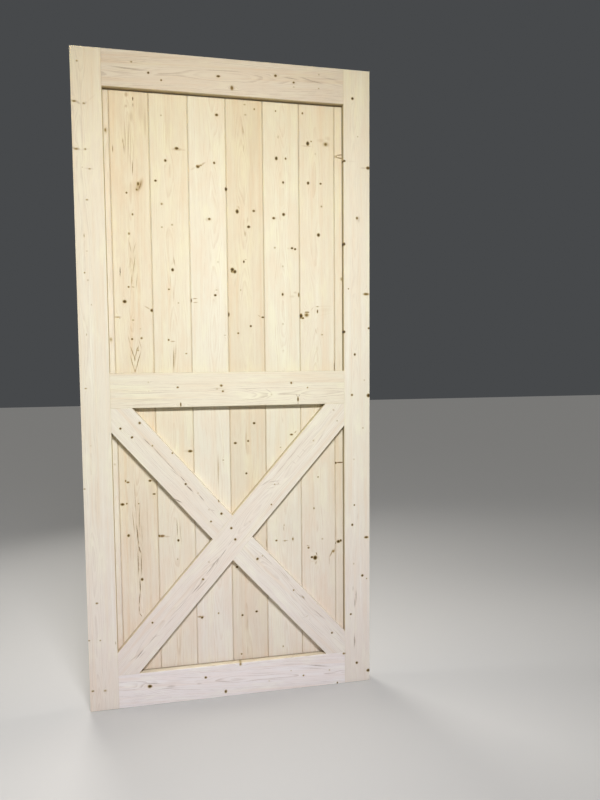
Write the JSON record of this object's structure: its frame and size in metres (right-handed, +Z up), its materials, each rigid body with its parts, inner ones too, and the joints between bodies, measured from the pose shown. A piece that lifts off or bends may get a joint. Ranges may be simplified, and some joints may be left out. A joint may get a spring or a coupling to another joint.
{
  "type": "sliding barn door leaf",
  "caption": "Tall softwood barn door leaf: vertical V-joint boards behind a framed face, with an open upper panel, a middle rail and an X brace below.",
  "frame": {"origin": "middle of the leaf's bottom edge, halfway through its thickness", "axes": "+Z up the leaf, +X to the right seen from the front, +Y from the braced front to the plain back"},
  "size_m": [1, 0.044, 2.21],
  "materials": {
    "board_spruce": "planed, unfinished",
    "frame_spruce": "planed, unfinished",
    "brace_spruce": "planed, unfinished",
    "staple_steel": "galvanised wire"
  },
  "bodies": {
    "root": {"board_1": "board_spruce", "board_2": "board_spruce", "board_3": "board_spruce", "board_4": "board_spruce", "board_5": "board_spruce", "board_6": "board_spruce", "board_7": "board_spruce", "board_8": "board_spruce", "bottom_rail": "frame_spruce", "bottom_rail_staples": "staple_steel", "brace_staples": "staple_steel", "left_stile": "frame_spruce", "long_brace": "brace_spruce", "lower_half_brace": "brace_spruce", "middle_rail": "frame_spruce", "middle_rail_staples": "staple_steel", "right_stile": "frame_spruce", "stile_staples": "staple_steel", "top_rail": "frame_spruce", "top_rail_staples": "staple_steel", "upper_half_brace": "brace_spruce"}
  },
  "joints": []
}
